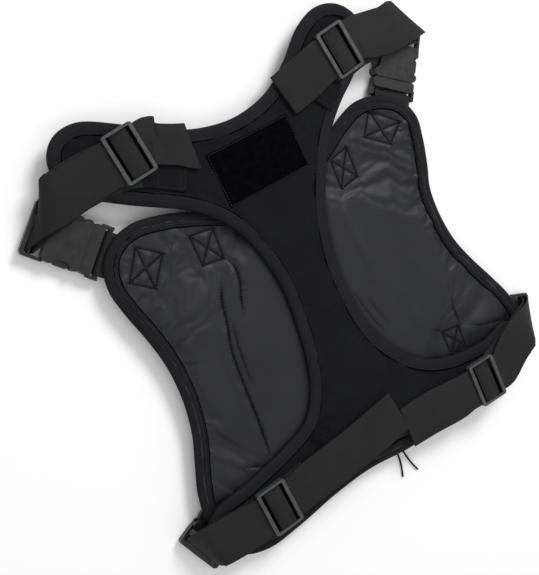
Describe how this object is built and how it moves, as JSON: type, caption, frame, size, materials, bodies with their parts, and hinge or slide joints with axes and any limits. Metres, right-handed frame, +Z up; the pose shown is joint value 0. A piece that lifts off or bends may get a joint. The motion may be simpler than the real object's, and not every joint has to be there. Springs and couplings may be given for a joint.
{
  "type": "safety harness vest",
  "caption": "Padded harness vest lying face down: back panel over a one-piece bib, joined by shoulder and belt straps with side-release buckles and three-bar slides.",
  "frame": {"origin": "middle of the vest's outline, on the surface it lies on, the pull cords left out", "axes": "+X across the vest, +Y towards the neck, +Z up from the surface, with the back panel on top"},
  "size_m": [0.4646, 0.4624, 0.0298],
  "materials": {
    "lining": "smooth nylon",
    "shell_fabric": "matt woven nylon",
    "foam": "closed-cell foam",
    "binding": "ribbed tape",
    "zip_coil": "moulded coil",
    "loop_pile": "brushed loop pile",
    "cord": "braided",
    "zip_metal": "painted",
    "webbing": "woven webbing",
    "slide_plastic": "moulded",
    "buckle_plastic": "moulded"
  },
  "bodies": {
    "root": {"front_shell": "shell_fabric", "front_padding": "foam", "front_lining": "lining", "front_binding": "binding", "front_pouch": "shell_fabric", "gear_webbing_left": "webbing", "gear_webbing_right": "webbing", "zip_tape": "binding", "zip_coil": "zip_coil", "back_shell": "shell_fabric", "back_padding": "foam", "back_lining": "lining", "back_binding": "binding", "loop_patch": "loop_pile", "shoulder_strap_left": "webbing", "shoulder_strap_right": "webbing", "belt_strap_left": "webbing", "belt_strap_right": "webbing", "shoulder_plug_left": "buckle_plastic", "shoulder_plug_right": "buckle_plastic", "belt_plug_left": "buckle_plastic", "belt_plug_right": "buckle_plastic", "shoulder_tab_left": "webbing", "shoulder_tab_right": "webbing", "belt_tab_left": "webbing", "belt_tab_right": "webbing"},
    "shoulder_socket_left": {"shoulder_socket_left": "buckle_plastic", "shoulder_loop_left": "webbing"},
    "shoulder_arm_left_a": {"shoulder_arm_left_a": "buckle_plastic"},
    "shoulder_arm_left_b": {"shoulder_arm_left_b": "buckle_plastic"},
    "shoulder_socket_right": {"shoulder_socket_right": "buckle_plastic", "shoulder_loop_right": "webbing"},
    "shoulder_arm_right_a": {"shoulder_arm_right_a": "buckle_plastic"},
    "shoulder_arm_right_b": {"shoulder_arm_right_b": "buckle_plastic"},
    "belt_socket_left": {"belt_socket_left": "buckle_plastic", "belt_loop_left": "webbing"},
    "belt_arm_left_a": {"belt_arm_left_a": "buckle_plastic"},
    "belt_arm_left_b": {"belt_arm_left_b": "buckle_plastic"},
    "belt_socket_right": {"belt_socket_right": "buckle_plastic", "belt_loop_right": "webbing"},
    "belt_arm_right_a": {"belt_arm_right_a": "buckle_plastic"},
    "belt_arm_right_b": {"belt_arm_right_b": "buckle_plastic"},
    "shoulder_slide_left": {"shoulder_slide_left": "slide_plastic"},
    "shoulder_slide_right": {"shoulder_slide_right": "slide_plastic"},
    "belt_slide_left": {"belt_slide_left": "slide_plastic"},
    "belt_slide_right": {"belt_slide_right": "slide_plastic"},
    "zip_slider_left": {"zip_slider_left": "zip_metal", "pull_cord_left": "cord"},
    "zip_slider_right": {"zip_slider_right": "zip_metal", "pull_cord_right": "cord"}
  },
  "joints": [
    {"name": "shoulder_release_left", "type": "slide", "parent": "root", "child": "shoulder_socket_left", "axis": [-0.6712, 0.7413, 0], "range_m": [0, 0.0335], "deforming": ["shoulder_arm_left_a", "shoulder_arm_left_b", "shoulder_loop_left"]},
    {"name": "shoulder_squeeze_left_a", "type": "hinge", "parent": "root", "child": "shoulder_arm_left_a", "pos_m": [-0.16842, 0.12907, 0.0064], "axis": [0, 0, 1], "range_deg": [0, 8], "stiffness_Nm_per_rad": 0.6, "deforming": ["shoulder_arm_left_a"]},
    {"name": "shoulder_squeeze_left_b", "type": "hinge", "parent": "root", "child": "shoulder_arm_left_b", "pos_m": [-0.18704, 0.11221, 0.0064], "axis": [0, 0, 1], "range_deg": [-8, 0], "stiffness_Nm_per_rad": 0.6, "deforming": ["shoulder_arm_left_b"]},
    {"name": "shoulder_release_right", "type": "slide", "parent": "root", "child": "shoulder_socket_right", "axis": [0.5708, 0.8211, 0], "range_m": [0, 0.0335], "deforming": ["shoulder_arm_right_a", "shoulder_arm_right_b", "shoulder_loop_right"]},
    {"name": "shoulder_squeeze_right_a", "type": "hinge", "parent": "root", "child": "shoulder_arm_right_a", "pos_m": [0.19133, 0.11646, 0.0064], "axis": [0, 0, 1], "range_deg": [0, 8], "stiffness_Nm_per_rad": 0.6, "deforming": ["shoulder_arm_right_a"]},
    {"name": "shoulder_squeeze_right_b", "type": "hinge", "parent": "root", "child": "shoulder_arm_right_b", "pos_m": [0.17071, 0.13079, 0.0064], "axis": [0, 0, 1], "range_deg": [-8, 0], "stiffness_Nm_per_rad": 0.6, "deforming": ["shoulder_arm_right_b"]},
    {"name": "belt_release_left", "type": "slide", "parent": "root", "child": "belt_socket_left", "axis": [-0.9292, -0.3697, 0], "range_m": [0, 0.031], "deforming": ["belt_arm_left_a", "belt_arm_left_b", "belt_loop_left"]},
    {"name": "belt_squeeze_left_a", "type": "hinge", "parent": "root", "child": "belt_arm_left_a", "pos_m": [-0.17798, -0.15321, 0.0052], "axis": [0, 0, 1], "range_deg": [0, 8], "stiffness_Nm_per_rad": 0.6, "deforming": ["belt_arm_left_a"]},
    {"name": "belt_squeeze_left_b", "type": "hinge", "parent": "root", "child": "belt_arm_left_b", "pos_m": [-0.16939, -0.17478, 0.0052], "axis": [0, 0, 1], "range_deg": [-8, 0], "stiffness_Nm_per_rad": 0.6, "deforming": ["belt_arm_left_b"]},
    {"name": "belt_release_right", "type": "slide", "parent": "root", "child": "belt_socket_right", "axis": [0.925, -0.38, 0], "range_m": [0, 0.031], "deforming": ["belt_arm_right_a", "belt_arm_right_b", "belt_loop_right"]},
    {"name": "belt_squeeze_right_a", "type": "hinge", "parent": "root", "child": "belt_arm_right_a", "pos_m": [0.17087, -0.16249, 0.0052], "axis": [0, 0, 1], "range_deg": [0, 8], "stiffness_Nm_per_rad": 0.6, "deforming": ["belt_arm_right_a"]},
    {"name": "belt_squeeze_right_b", "type": "hinge", "parent": "root", "child": "belt_arm_right_b", "pos_m": [0.1797, -0.14101, 0.0052], "axis": [0, 0, 1], "range_deg": [-8, 0], "stiffness_Nm_per_rad": 0.6, "deforming": ["belt_arm_right_b"]},
    {"name": "shoulder_slide_left_adjust", "type": "slide", "parent": "root", "child": "shoulder_slide_left", "axis": [-0.9959, -0.0901, 0], "range_m": [-0.006, 0.042]},
    {"name": "shoulder_slide_right_adjust", "type": "slide", "parent": "root", "child": "shoulder_slide_right", "axis": [0.9915, 0.1301, 0], "range_m": [-0.012, 0.008]},
    {"name": "belt_slide_left_adjust", "type": "slide", "parent": "root", "child": "belt_slide_left", "axis": [-0.9998, -0.02, 0], "range_m": [-0.01, 0.015]},
    {"name": "belt_slide_right_adjust", "type": "slide", "parent": "root", "child": "belt_slide_right", "axis": [0.9995, -0.03, 0], "range_m": [-0.02, 0.002]},
    {"name": "zip_pull_left", "type": "slide", "parent": "root", "child": "zip_slider_left", "axis": [-1, 0, 0], "range_m": [0, 0.095], "deforming": ["pull_cord_left"]},
    {"name": "zip_pull_right", "type": "slide", "parent": "root", "child": "zip_slider_right", "axis": [1, 0, 0], "range_m": [0, 0.095], "deforming": ["pull_cord_right"]}
  ],
  "couplings": [
    {"joint": "shoulder_squeeze_left_b", "follows": "shoulder_squeeze_left_a", "ratio": -1},
    {"joint": "shoulder_squeeze_right_b", "follows": "shoulder_squeeze_right_a", "ratio": -1},
    {"joint": "belt_squeeze_left_b", "follows": "belt_squeeze_left_a", "ratio": -1},
    {"joint": "belt_squeeze_right_b", "follows": "belt_squeeze_right_a", "ratio": -1}
  ]
}
